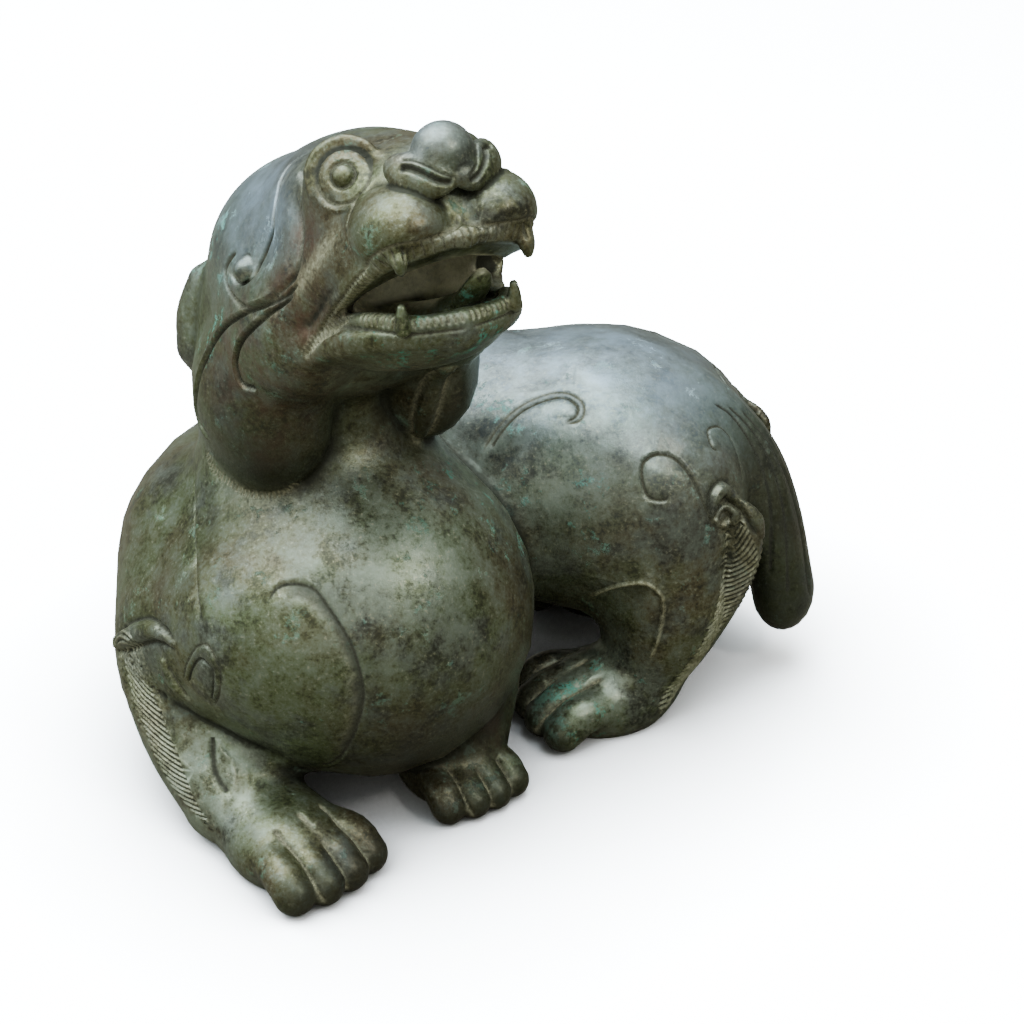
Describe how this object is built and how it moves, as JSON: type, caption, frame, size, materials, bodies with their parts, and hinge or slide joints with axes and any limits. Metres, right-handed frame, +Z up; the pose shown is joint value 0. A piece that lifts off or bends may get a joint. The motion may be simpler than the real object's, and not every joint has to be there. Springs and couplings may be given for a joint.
{
  "type": "bronze mythical beast figure",
  "caption": "Cast bronze figure of a standing mythical beast with round chest, open fanged mouth, heavy jowls, scrolled haunch and hanging tail",
  "frame": {"origin": "centre of the bounding box in X and Y, on the ground plane under the paws", "axes": "+Z up; the beast's body runs along X with its tail at +X and its chest at -X; the head and fore paws are turned towards -Y, the viewer"},
  "size_m": [0.393, 0.3598, 0.4107],
  "materials": {
    "bronze": "mottled olive-green and brown patina with verdigris patches and dust in the grooves"
  },
  "bodies": {
    "root": {"beast_figure": "bronze"}
  },
  "joints": []
}
